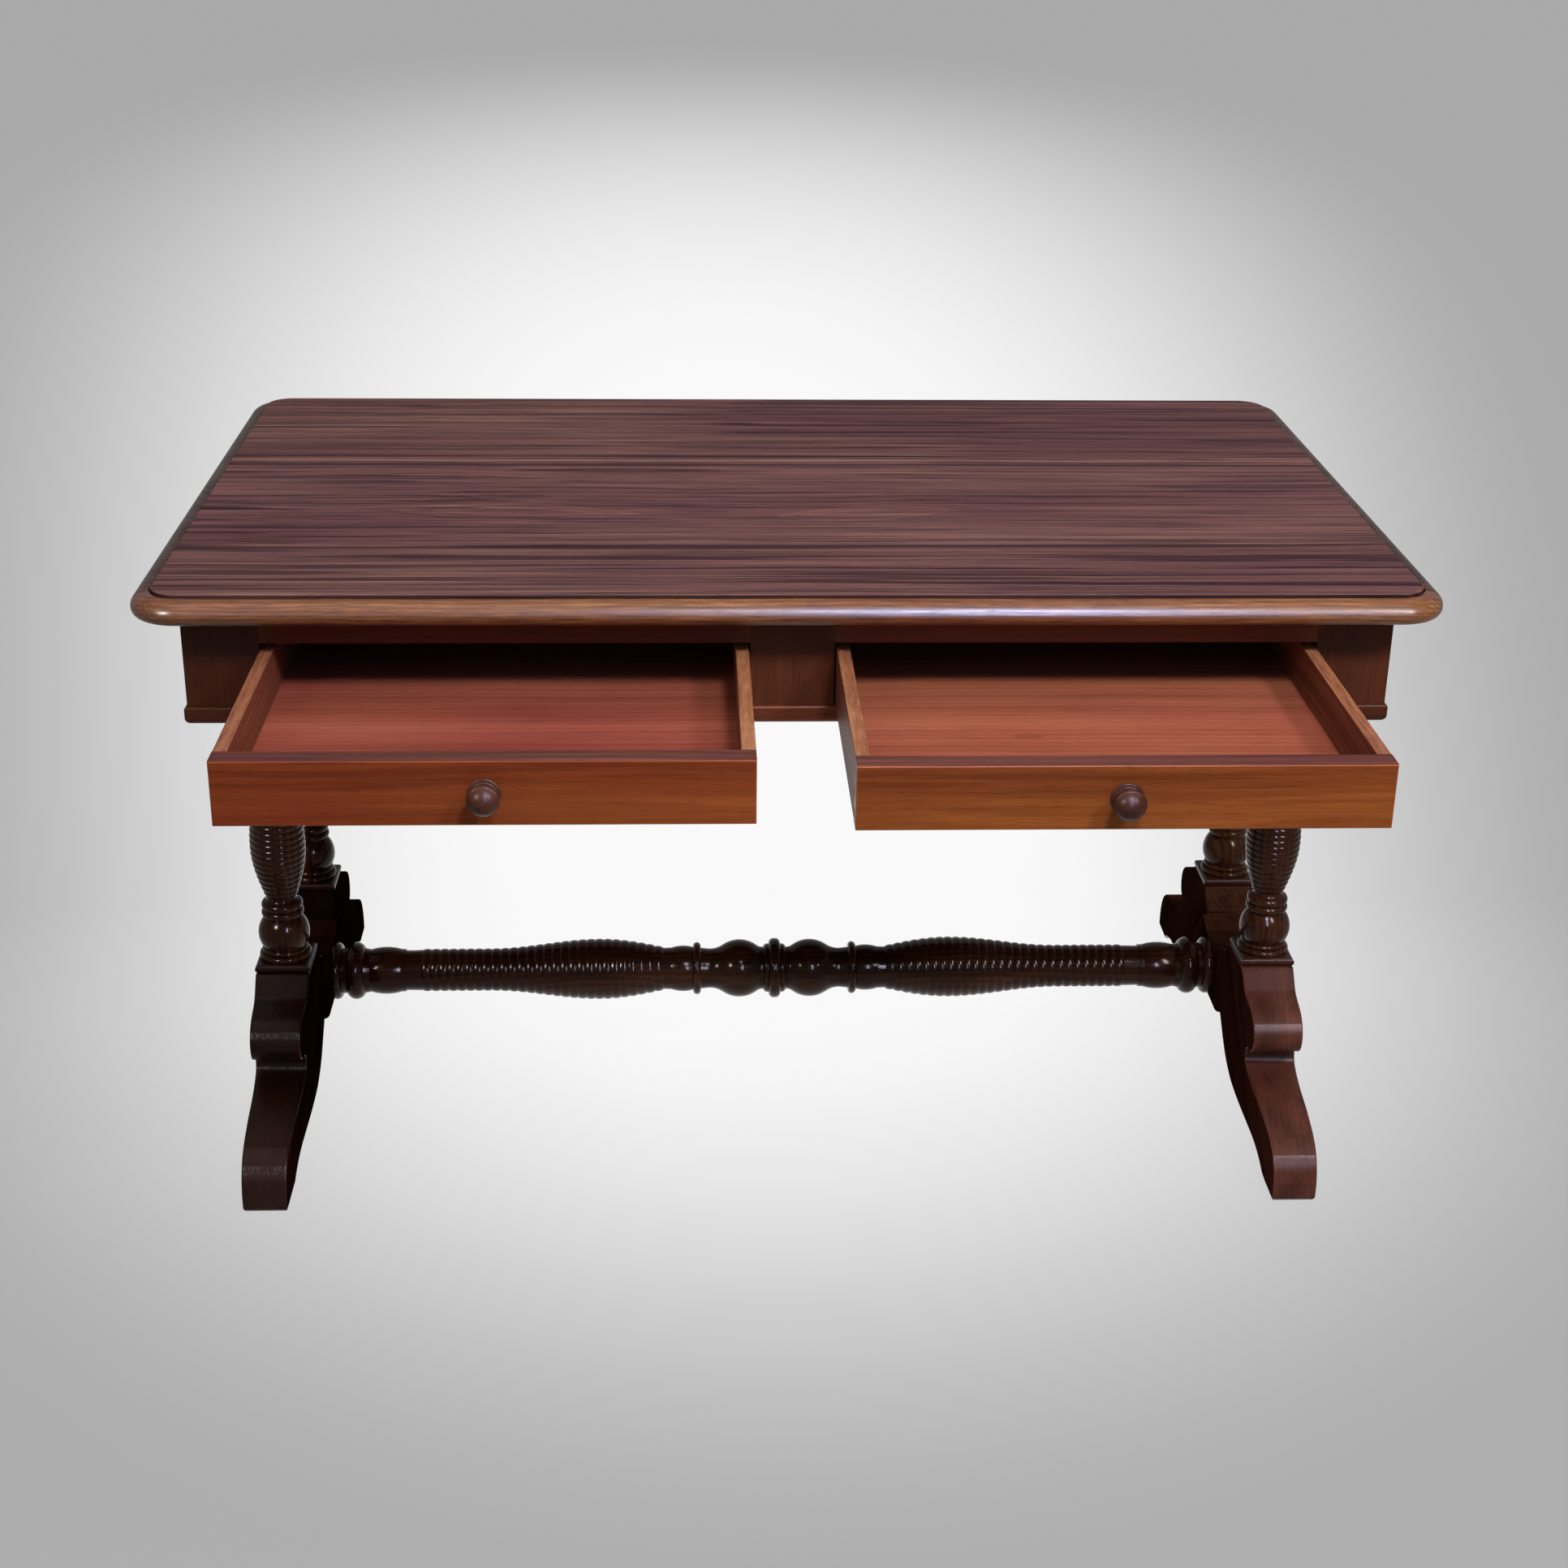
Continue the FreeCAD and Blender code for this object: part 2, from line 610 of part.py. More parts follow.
def make_centre_block():
    """Block between the legs, with mortises for them and a bore on the +x side for the stretcher."""
    half_x = centre_block_thickness / 2
    half_y = centre_block_depth / 2
    block = box((-half_x, half_x), (-half_y, half_y), (centre_block_bottom, shoulder_height))
    lower = edges_at(block, lambda point: near(point.z, centre_block_bottom))
    long_edges = [edge for edge in lower if near(edge.Length, centre_block_depth)]
    block = block.makeFillet(centre_block_rounding, long_edges)
    front_mortise = leg_tenon(glue_gap)
    front_mortise.rotate(origin, along_z, half_turn)
    bore = Part.makeCylinder(stretcher_tenon_radius + glue_gap, stretcher_tenon_length + glue_gap,
                             V(half_x, 0, stretcher_height), -along_x)
    return block.cut([saddle(), leg_tenon(glue_gap), front_mortise, bore])


def make_bearer():
    """Cross bearer on top of the two posts, with a cove under each end."""
    half_x = bearer_width / 2
    end_y = bearer_length / 2
    cove_y = end_y - bearer_length * bearer_cove_share
    step_z = frieze_bottom - bearer_height * bearer_step_share
    bend = (1 - math.sqrt(1 / 2))
    edges = []
    for end in (1, -1):
        step = V(-half_x, end * end_y, step_z)
        foot = V(-half_x, end * cove_y, bearer_bottom)
        middle = V(-half_x, end * (cove_y + (end_y - cove_y) * bend),
                   step_z - (step_z - bearer_bottom) * bend)
        edges.append(Part.makeLine(V(-half_x, end * end_y, frieze_bottom), step))
        edges.append(Part.Arc(step, middle, foot).toShape())
    edges.append(Part.makeLine(V(-half_x, end_y, frieze_bottom), V(-half_x, -end_y, frieze_bottom)))
    edges.append(Part.makeLine(V(-half_x, cove_y, bearer_bottom), V(-half_x, -cove_y, bearer_bottom)))
    outline = Part.Wire(Part.__sortEdges__(edges))
    bearer = Part.Face(outline).extrude(V(bearer_width, 0, 0))
    holes = []
    for name, end in ends:
        hole = post_hole()
        hole.translate(V(0, end * post_y, 0))
        holes.append(hole)
    return bearer.cut(holes)


def stand(name, shape, x, y):
    """Keep a copy of a piece, moved from the middle of the table."""
    shape = shape.copy()
    shape.translate(V(x, y, 0))
    pieces[name] = shape


def make_end_support(name, side):
    """Posts, plinths, legs, centre block and bearer of one end."""
    x = side * trestle_x
    for end_name, end in ends:
        stand(name + "_" + end_name + "_post", make_post(), x, end * post_y)
        stand(name + "_" + end_name + "_plinth", make_plinth(), x, end * post_y)
        leg = make_leg()
        if end < 0:
            leg.rotate(origin, along_z, half_turn)
        stand(name + "_" + end_name + "_leg", leg, x, 0)
    block = make_centre_block()
    if side > 0:
        block.rotate(origin, along_z, half_turn)
    stand(name + "_centre_block", block, x, 0)
    stand(name + "_top_bearer", make_bearer(), x, 0)
    pieces[name + "_top_bearer"] = pieces[name + "_top_bearer"].cut(bearer_screws(glue_gap))


def make_stretcher():
    """Long turned rail, the same from its middle to either end, with a tenon at each end."""
    half = turned(stretcher_shares, block_face_x, stretcher_radius, stretcher_rib_count)
    tenon = Part.makeCylinder(stretcher_tenon_radius, stretcher_tenon_length, V(0, 0, block_face_x), along_z)
    half = half.fuse(tenon)
    halves = []
    for name, side in sides:
        turned_half = half.copy()
        turned_half.rotate(origin, along_y, side * quarter_turn)
        halves.append(turned_half)
    stretcher = halves[0].fuse(halves[1]).removeSplitter()
    stretcher.translate(V(0, 0, stretcher_height))
    pieces["stretcher"] = stretcher


make_top()
make_bead()
make_frieze()
make_drawer_bed()
for side_name, side_sign in sides:
    make_drawer(side_name, side_sign)
    make_end_support(side_name, side_sign)
make_stretcher()
pieces["bearer_screws"] = Part.makeCompound(bearer_screws())

os.makedirs("parts", exist_ok=True)
for piece_name, piece in pieces.items():
    piece.translate(V(0, table_centre_y, 0))
    piece.exportStep("parts/" + piece_name + ".step")
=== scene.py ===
import bpy
import math
from mathutils import Matrix, Vector


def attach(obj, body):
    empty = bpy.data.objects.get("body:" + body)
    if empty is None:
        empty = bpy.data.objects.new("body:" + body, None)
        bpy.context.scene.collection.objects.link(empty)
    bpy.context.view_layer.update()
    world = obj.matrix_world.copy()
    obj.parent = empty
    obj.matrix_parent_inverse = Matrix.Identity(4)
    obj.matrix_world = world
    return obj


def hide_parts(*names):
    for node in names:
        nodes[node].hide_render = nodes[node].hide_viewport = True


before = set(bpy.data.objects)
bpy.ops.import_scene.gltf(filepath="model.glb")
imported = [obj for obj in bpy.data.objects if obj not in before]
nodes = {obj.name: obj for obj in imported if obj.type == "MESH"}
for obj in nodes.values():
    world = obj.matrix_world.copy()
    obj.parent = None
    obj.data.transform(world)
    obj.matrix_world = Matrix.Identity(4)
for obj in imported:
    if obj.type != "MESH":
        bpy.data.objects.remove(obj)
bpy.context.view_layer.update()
scene = bpy.context.scene
print("frame loaded:", len(nodes), "nodes")


# camera, solved from the table's own edges
view = {
    "place": (-0.1099, -2.5648, 1.5414),
    "yaw": 0.0439,
    "pitch": 0.4038,
    "roll": 0.0135,
    "focalPixels": 2954.4,
    "imagePixels": 1932,
    "sensorWidth": 36.0,
}


def setCamera():
    bpy.ops.object.camera_add()
    camera = bpy.context.object
    forward = Vector((math.sin(view["yaw"]) * math.cos(view["pitch"]),
                      math.cos(view["yaw"]) * math.cos(view["pitch"]),
                      -math.sin(view["pitch"])))
    level = Vector((math.cos(view["yaw"]), -math.sin(view["yaw"]), 0))
    upright = level.cross(forward)
    right = level * math.cos(view["roll"]) + upright * math.sin(view["roll"])
    up = upright * math.cos(view["roll"]) - level * math.sin(view["roll"])
    turn = Matrix((right, up, -forward)).transposed().to_4x4()
    camera.matrix_world = Matrix.Translation(view["place"]) @ turn
    camera.data.sensor_width = view["sensorWidth"]
    camera.data.lens = view["focalPixels"] / view["imagePixels"] * view["sensorWidth"]
    scene.camera = camera


setCamera()
scene.view_settings.view_transform = "Standard"
print("camera set")


# node helpers
def newNode(tree, kind, values=None, **options):
    node = tree.nodes.new(kind)
    for option, value in options.items():
        setattr(node, option, value)
    for socket, value in (values or {}).items():
        node.inputs[socket].default_value = value
    return node


def newMaterial(name):
    material = bpy.data.materials.new(name)
    material.use_nodes = True
    return material, material.node_tree, material.node_tree.nodes["Principled BSDF"]


def stretched(tree, source, amounts):
    node = newNode(tree, "ShaderNodeVectorMath", operation="MULTIPLY")
    tree.links.new(source, node.inputs[0])
    node.inputs[1].default_value = amounts
    return node.outputs["Vector"]


def noiseAlong(tree, source, amounts, detail, roughness=0.55):
    node = newNode(tree, "ShaderNodeTexNoise", {"Scale": 1.0, "Detail": detail, "Roughness": roughness})
    tree.links.new(stretched(tree, source, amounts), node.inputs["Vector"])
    return node


def mathNode(tree, operation, first, second=0):
    node = newNode(tree, "ShaderNodeMath", operation=operation)
    for socket, value in zip(node.inputs, (first, second)):
        if isinstance(value, (int, float)):
            socket.default_value = value
        else:
            tree.links.new(value, socket)
    return node.outputs[0]


def fitRange(tree, value, low, high, newLow, newHigh):
    node = newNode(tree, "ShaderNodeMapRange", {1: low, 2: high, 3: newLow, 4: newHigh})
    tree.links.new(value, node.inputs[0])
    return node.outputs[0]


def multiplied(tree, colour, mask, tint):
    node = newNode(tree, "ShaderNodeMix", data_type="RGBA", blend_type="MULTIPLY")
    tree.links.new(mask, node.inputs["Factor"])
    tree.links.new(colour, node.inputs[6])
    node.inputs[7].default_value = (*tint, 1)
    return node.outputs[2]


def mixedShaders(tree, share, first, second, output):
    node = newNode(tree, "ShaderNodeMixShader")
    tree.links.new(share, node.inputs[0])
    tree.links.new(first, node.inputs[1])
    tree.links.new(second, node.inputs[2])
    tree.links.new(node.outputs[0], tree.nodes[output].inputs["Surface"])


def colourRamp(tree, value, stops):
    node = newNode(tree, "ShaderNodeValToRGB")
    node.color_ramp.interpolation = "EASE"
    while len(node.color_ramp.elements) < len(stops):
        node.color_ramp.elements.new(0.5)
    for element, (place, colour) in zip(node.color_ramp.elements, stops):
        element.position = place
        element.color = (*colour, 1)
    tree.links.new(value, node.inputs[0])
    return node.outputs[0]


# floor, light and surroundings
studio = {
    "floorSize": 120.0,
    "floorColour": (0.40, 0.40, 0.40, 1),
    "floorRoughness": 0.85,
    "floorSpecular": 0.1,
    "floorGlow": (1.0, 1.0, 1.0),
    "floorGlowFar": (0.42, 0.42, 0.42),
    "floorGlowShare": 0.94,
    # a painted pool of light round the table: how far the pale part of the floor reaches, and how much wider
    # it gets to the rear
    "glowMiddleY": 0.6,
    "glowReachX": 1.35,
    "glowSpread": 0.34,
    "glowReachFront": 1.50,
    "glowReachRear": 12.0,
    "glowRamp": (0.24, 0.98),
    "airColour": (0.90, 0.93, 0.97, 1),
    "airStrength": 0.17,
    "airSeen": (0.42, 0.42, 0.43, 1),
    # name, place, point aimed at, size, power, colour
    "lamps": (
        ("windowLight", (0.50, -2.10, 2.85), (0.1, -0.1, 0.5), (0.45, 0.40), 56, (0.88, 0.92, 1.0)),
        ("rightLight", (1.75, -2.05, 2.75), (0.4, 0.0, 0.2), (0.36, 0.50), 47, (0.92, 0.95, 1.0)),
        ("leftLight", (-2.00, -2.00, 2.50), (-0.4, 0.0, 0.4), (0.32, 0.40), 10, (1.0, 0.95, 0.90)),
        ("overheadLight", (0.0, -0.10, 3.3), (0.0, 0.15, 0.5), (3.0, 2.0), 30, (1.0, 0.97, 0.94)),
    ),
    # the same for panels that only show in polished wood, as highlights
    "panels": (
        ("windowPanel", (0.50, -2.10, 2.20), (0.1, 0.0, 0.7), (0.24, 2.40), 185, (0.48, 0.61, 1.0)),
        ("rightPanel", (1.75, -2.05, 2.05), (0.4, 0.0, 0.2), (0.36, 0.60), 50, (0.88, 0.92, 1.0)),
        ("leftPanel", (-2.00, -2.00, 2.00), (-0.4, 0.0, 0.4), (0.36, 0.45), 90, (1.0, 0.95, 0.90)),
    ),
}


def seenRays(tree):
    rays = newNode(tree, "ShaderNodeLightPath")
    seen = mathNode(tree, "MAXIMUM", rays.outputs["Is Camera Ray"], rays.outputs["Is Glossy Ray"])
    return mathNode(tree, "MAXIMUM", seen, rays.outputs["Is Transmission Ray"])


def makeFloor():
    bpy.ops.mesh.primitive_plane_add(size=studio["floorSize"])
    floor = bpy.context.object
    floor.name = "floor"
    material, tree, shader = newMaterial("floorPaper")
    shader.inputs["Base Color"].default_value = studio["floorColour"]
    shader.inputs["Roughness"].default_value = studio["floorRoughness"]
    shader.inputs["Specular IOR Level"].default_value = studio["floorSpecular"]
    # pale paper with a painted pool of light: darker away from the table
    coords = newNode(tree, "ShaderNodeTexCoord")
    apart = newNode(tree, "ShaderNodeSeparateXYZ")
    tree.links.new(coords.outputs["Object"], apart.inputs[0])
    behind = mathNode(tree, "SUBTRACT", apart.outputs["Y"], studio["glowMiddleY"])
    alongY = mathNode(tree, "MAXIMUM", mathNode(tree, "DIVIDE", behind, studio["glowReachRear"]),
                      mathNode(tree, "DIVIDE", behind, -studio["glowReachFront"]))
    wider = mathNode(tree, "MULTIPLY", mathNode(tree, "MAXIMUM", behind, 0), studio["glowSpread"])
    alongX = mathNode(tree, "DIVIDE", apart.outputs["X"], mathNode(tree, "ADD", wider, studio["glowReachX"]))
    squares = mathNode(tree, "ADD", mathNode(tree, "MULTIPLY", alongX, alongX),
                       mathNode(tree, "MULTIPLY", alongY, alongY))
    away = mathNode(tree, "SQRT", squares)
    stops = tuple(zip(studio["glowRamp"], (studio["floorGlow"], studio["floorGlowFar"])))
    glow = newNode(tree, "ShaderNodeEmission", {"Strength": 1.0})
    tree.links.new(colourRamp(tree, away, stops), glow.inputs["Color"])
    share = mathNode(tree, "MULTIPLY", seenRays(tree), studio["floorGlowShare"])
    mixedShaders(tree, share, shader.outputs[0], glow.outputs[0], "Material Output")
    floor.data.materials.append(material)


def makeAir():
    world = bpy.data.worlds.new("studioAir")
    scene.world = world
    world.use_nodes = True
    tree = world.node_tree
    air = tree.nodes["Background"]
    air.inputs["Color"].default_value = studio["airColour"]
    air.inputs["Strength"].default_value = studio["airStrength"]
    seen = newNode(tree, "ShaderNodeBackground", {"Color": studio["airSeen"], "Strength": 1.0})
    mixedShaders(tree, seenRays(tree), air.outputs[0], seen.outputs[0], "World Output")


def makeLamp(name, place, aim, size, power, colour):
    bpy.ops.object.light_add(type="AREA", location=place)
    lamp = bpy.context.object
    lamp.name = name
    lamp.rotation_euler = (Vector(aim) - Vector(place)).to_track_quat("-Z", "Y").to_euler()
    lamp.data.shape = "RECTANGLE"
    lamp.data.size, lamp.data.size_y = size
    lamp.data.energy = power
    lamp.data.color = colour
    return lamp


def makeLamps():
    for lamp in studio["lamps"]:
        makeLamp(*lamp)
    for panel in studio["panels"]:
        makeLamp(*panel).visible_diffuse = False


makeFloor()
makeAir()
makeLamps()
print("studio ready")


# wood: growth rings round a hidden pith, long streaks, dark lines, fibres and pores, all along the grain
legTilt = math.radians(46)
grainTurns = {
    "x": (0, 0, 0),
    "y": (0, 0, -math.pi / 2),
    "z": (0, math.pi / 2, 0),
    "frontLeg": (legTilt, math.pi / 2, 0),
    "rearLeg": (-legTilt, math.pi / 2, 0),
}

# used where a wood below doesn't say otherwise
plainWood = {
    "toneStops": (0.16, 0.52, 0.90),        # where dark, middle and light stand in the figure
    "pith": (0.0, 0.04, 0.05), "wanderScale": (2.4, 2.0, 2.0), "wanderWidth": 0.022,
    "ringScale": 46.0, "ringDepth": 0.03, "ringStretch": (0.05, 1, 1), "ringShare": 0.22,
    "streakScale": (0.5, 30, 30), "streakRoughness": 0.68, "streakRange": (0.37, 0.63), "streakShare": 0.50,
    "fibreScale": (8, 480, 480), "fibreRange": (0.3, 0.7), "fibreShare": 0.28, "fibreBump": -0.12,
    "line": (0.50, 0.46, 0.44), "lineScale": (0.55, 80, 80), "lineEdge": (0.57, 0.64), "lineShare": 0.4,
    "pore": (0.38, 0.32, 0.30), "poreScale": (44, 1150, 1150), "poreEdge": (0.60, 0.70), "poreShare": 0.5,
    "patchScale": (1.3, 4.5, 4.5), "patchRange": (0.3, 0.7), "patchHue": (0.490, 0.508), "drift": 0.20,
    "roughness": 0.36, "roughRange": (0.1, 0.9, 0.06, -0.05), "specular": 0.16,
    "specularTint": (1.0, 0.72, 0.58), "bump": 0.20, "bumpDistance": 0.0004,
}
woods = {
    "topWood": {
        "dark": (0.046, 0.022, 0.024), "middle": (0.131, 0.057, 0.053), "light": (0.230, 0.112, 0.087),
        "line": (0.34, 0.32, 0.38), "pith": (0.0, -0.038, -0.722), "ringScale": 58.0,
        "ringShare": 0.14, "streakShare": 0.42, "fibreShare": 0.36, "lineShare": 0.95,
        "streakScale": (1.8, 100, 100), "streakRoughness": 0.72, "lineScale": (1.1, 105, 105),
        "fibreScale": (4, 250, 250), "roughness": 0.52, "specular": 0.02, "specularTint": (1.0, 0.95, 1.0),
        # a dark and a pale line along the rear joint: y, half width, tone
        "bands": ((0.232, 0.006, -0.6), (0.2515, 0.0075, 0.60)),
    },
    # the moulded edge is lighter and more orange than the field: partly its own colour, partly painted light
    # from the front lamps
    "edgeWood": {
        "dark": (0.066, 0.020, 0.0064), "middle": (0.172, 0.058, 0.0185), "light": (0.296, 0.122, 0.043),
        "ringScale": 70.0, "streakShare": 0.40, "fibreShare": 0.46, "fibreScale": (30, 420, 420),
        "lineShare": 0.3, "poreShare": 0.9, "roughness": 0.30, "specular": 0.36,
        "specularTint": (1.0, 0.98, 1.0),
        # painted shade: darker from the first y to the second, down to this tint, on the ends and back of
        # the edge that face away from the front lamps
        "fade": (-0.255, -0.200, (0.20, 0.17, 0.20)),
    },
    "friezeWood": {
        "dark": (0.058, 0.0134, 0.0056), "middle": (0.071, 0.0165, 0.0070), "light": (0.086, 0.0210, 0.0090),
        "ringShare": 0.12, "streakShare": 0.60, "lineShare": 0.08, "specular": 0.12,
    },
    "turnedWood": {
        "dark": (0.019, 0.0060, 0.0027), "middle": (0.050, 0.0160, 0.0072), "light": (0.108, 0.036, 0.0140),
        "roughness": 0.14, "specular": 0.12, "specularTint": (1.0, 0.80, 0.70), "bump": 0.04,
    },
    "legWood": {
        "dark": (0.034, 0.0112, 0.0064), "middle": (0.056, 0.0185, 0.0105), "light": (0.082, 0.0270, 0.0152),
        "ringShare": 0.15, "lineShare": 0.25, "roughness": 0.25, "specular": 0.12,
        "specularTint": (1.0, 0.88, 0.86),
    },
    "drawerFrontWood": {
        "dark": (0.125, 0.024, 0.005), "middle": (0.181, 0.040, 0.0090), "light": (0.240, 0.062, 0.015),
        "pith": (0.0, 0.47, -0.60), "ringScale": 30.0, "ringShare": 0.14, "streakShare": 0.56,
        "lineShare": 0.15, "specular": 0.12,
    },
    "drawerEdgeWood": {
        "dark": (0.060, 0.016, 0.012), "middle": (0.104, 0.028, 0.020), "light": (0.160, 0.048, 0.034),
        "roughness": 0.42, "specular": 0.12,
    },
    "drawerRimWood": {
        "dark": (0.130, 0.046, 0.021), "middle": (0.235, 0.084, 0.038), "light": (0.340, 0.140, 0.066),
        "streakShare": 0.40, "fibreShare": 0.46, "fibreScale": (40, 420, 420), "roughness": 0.48,
        "specular": 0.12,
    },
    "drawerSideWood": {
        "dark": (0.105, 0.026, 0.013), "middle": (0.155, 0.042, 0.022), "light": (0.215, 0.066, 0.034),
        "lineShare": 0.2, "roughness": 0.48, "specular": 0.12,
    },
    "drawerLiningWood": {
        "dark": (0.225, 0.052, 0.028), "middle": (0.290, 0.074, 0.042), "light": (0.350, 0.100, 0.058),
        "pith": (0.0, 0.10, -0.60), "ringScale": 30.0, "ringShare": 0.18, "lineShare": 0.10,
        "roughness": 0.48,
    },
    "innerWood": {
        "dark": (0.110, 0.050, 0.024), "middle": (0.200, 0.098, 0.048), "light": (0.290, 0.155, 0.082),
        "lineShare": 0.25, "roughness": 0.62,
    },
    "knobWood": {
        "dark": (0.050, 0.016, 0.009), "middle": (0.076, 0.026, 0.014), "light": (0.105, 0.038, 0.021),
        "ringScale": 60.0, "ringDepth": 0.01, "ringShare": 0.1, "lineShare": 0.2, "roughness": 0.33,
        "specular": 0.11, "specularTint": (1.0, 0.85, 0.88),
    },
}

# the front board of the top has broader dark lines
woods["frontTopWood"] = dict(woods["topWood"], lineScale=(0.7, 66, 66), lineEdge=(0.54, 0.59))
# the middle board has two long pale eyes: x, y, half length, half width, slope; then ring place and tone
woods["middleTopWood"] = dict(
    woods["topWood"],
    eyes=((-0.303, 0.038, 0.150, 0.036, -0.06), (0.092, 0.033, 0.110, 0.030, 0.13)),
    eyeRings=((0.0, 0.08), (0.18, 0.03), (0.38, 0.17), (0.55, 0.05), (0.80, 0.17), (1.0, 0.0)))
# the ends and back of the top's edge are duller than its front
woods["sideEdgeWood"] = dict(woods["edgeWood"], specular=0.07)
# the flat sides of the legs are duller than their fronts
woods["legFlankWood"] = dict(woods["legWood"], specular=0.0, roughness=0.60)
# one bottom board has a small knot: x and y, half sizes, then how its tone fades outwards
woods["knottyLiningWood"] = dict(woods["drawerLiningWood"], knot=(0.2315, -0.3503), knotSize=(0.011, 0.005),
                                 knotFade=(0.2, 2.5, -0.8, 0))

finishes = {}       # made so far, by name


def finishName(kind, grain, shift, lighten):
    name = kind + "Along" + grain.capitalize()
    if any(shift):
        name += "At" + "".join(str(round(abs(part) * 100)) for part in shift)
    if lighten != 1.0:
        name += "Tone" + str(round(lighten * 100))
    return name


def grainSpace(tree, coords, look, grain, shift):
    place = [a + b for a, b in zip(look["pith"], shift)]
    turn = newNode(tree, "ShaderNodeMapping", {"Location": place, "Rotation": grainTurns[grain]})
    tree.links.new(coords, turn.inputs["Vector"])
    along = turn.outputs["Vector"]
    # the pith wanders slowly along the board, which draws the arched figure
    wander = noiseAlong(tree, along, look["wanderScale"], detail=1.0)
    centred = newNode(tree, "ShaderNodeVectorMath", operation="SUBTRACT")
    tree.links.new(wander.outputs["Color"], centred.inputs[0])
    centred.inputs[1].default_value = (0.5, 0.5, 0.5)
    wandering = stretched(tree, centred.outputs["Vector"], (0, look["wanderWidth"], look["ringDepth"]))
    bent = newNode(tree, "ShaderNodeVectorMath", operation="ADD")
    tree.links.new(along, bent.inputs[0])
    tree.links.new(wandering, bent.inputs[1])
    return along, bent.outputs["Vector"]


def growthRings(tree, bent, look):
    rings = newNode(tree, "ShaderNodeTexWave", {"Scale": look["ringScale"], "Distortion": 1.0, "Detail": 2.0,
                                                "Detail Scale": 0.5, "Detail Roughness": 0.6},
                    wave_type="RINGS", rings_direction="X", wave_profile="SIN")
    tree.links.new(stretched(tree, bent, look["ringStretch"]), rings.inputs["Vector"])
    return rings.outputs["Fac"]


def distanceTo(tree, value, middle):
    return mathNode(tree, "ABSOLUTE", mathNode(tree, "SUBTRACT", value, middle))


# lines along a joint, eyes and a knot, at their own places on the board
def placedMarks(tree, here, look, shade):
    x, y = here.outputs["X"], here.outputs["Y"]
    for bandY, half, lift in look.get("bands", ()):
        band = fitRange(tree, distanceTo(tree, y, bandY), 0, half, lift, 0)
        shade = mathNode(tree, "ADD", shade, band)
    for eyeX, eyeY, length, width, slope in look.get("eyes", ()):
        # pale rings of a pointed oval
        off = mathNode(tree, "SUBTRACT", x, eyeX)
        level = mathNode(tree, "ADD", mathNode(tree, "MULTIPLY", off, slope), eyeY)
        across = mathNode(tree, "DIVIDE", distanceTo(tree, y, level), width)
        ends = mathNode(tree, "DIVIDE", off, length)
        ring = mathNode(tree, "ADD", across, mathNode(tree, "MULTIPLY", ends, ends))
        lift = colourRamp(tree, ring, [(stop, (tone, tone, tone)) for stop, tone in look["eyeRings"]])
        shade = mathNode(tree, "ADD", shade, lift)
    if "knot" in look:
        spots = [mathNode(tree, "DIVIDE", mathNode(tree, "SUBTRACT", value, middle), size)
                 for value, middle, size in zip((x, y), look["knot"], look["knotSize"])]
        gap = mathNode(tree, "ADD", *(mathNode(tree, "MULTIPLY", spot, spot) for spot in spots))
        shade = mathNode(tree, "ADD", shade, fitRange(tree, gap, *look["knotFade"]))
    return shade


# slow drift of tone over the board
def drifted(tree, along, look, colour):
    patches = noiseAlong(tree, along, look["patchScale"], detail=2.0).outputs["Fac"]
    node = newNode(tree, "ShaderNodeHueSaturation")
    lift = fitRange(tree, patches, *look["patchRange"], 1 - look["drift"], 1 + look["drift"])
    tree.links.new(lift, node.inputs["Value"])
    tree.links.new(fitRange(tree, patches, *look["patchRange"], *look["patchHue"]), node.inputs["Hue"])
    tree.links.new(colour, node.inputs["Color"])
    return node.outputs["Color"]


def setGloss(tree, shader, look, shade, height):
    first, last, dull, glossy = look["roughRange"]
    rough = fitRange(tree, shade, first, last, look["roughness"] + dull, look["roughness"] + glossy)
    tree.links.new(rough, shader.inputs["Roughness"])
    bump = newNode(tree, "ShaderNodeBump", {"Strength": look["bump"], "Distance": look["bumpDistance"]},
                   invert=True)
    tree.links.new(height, bump.inputs["Height"])
    tree.links.new(bump.outputs["Normal"], shader.inputs["Normal"])
    shader.inputs["Specular IOR Level"].default_value = look["specular"]
    shader.inputs["Specular Tint"].default_value = (*look["specularTint"], 1)


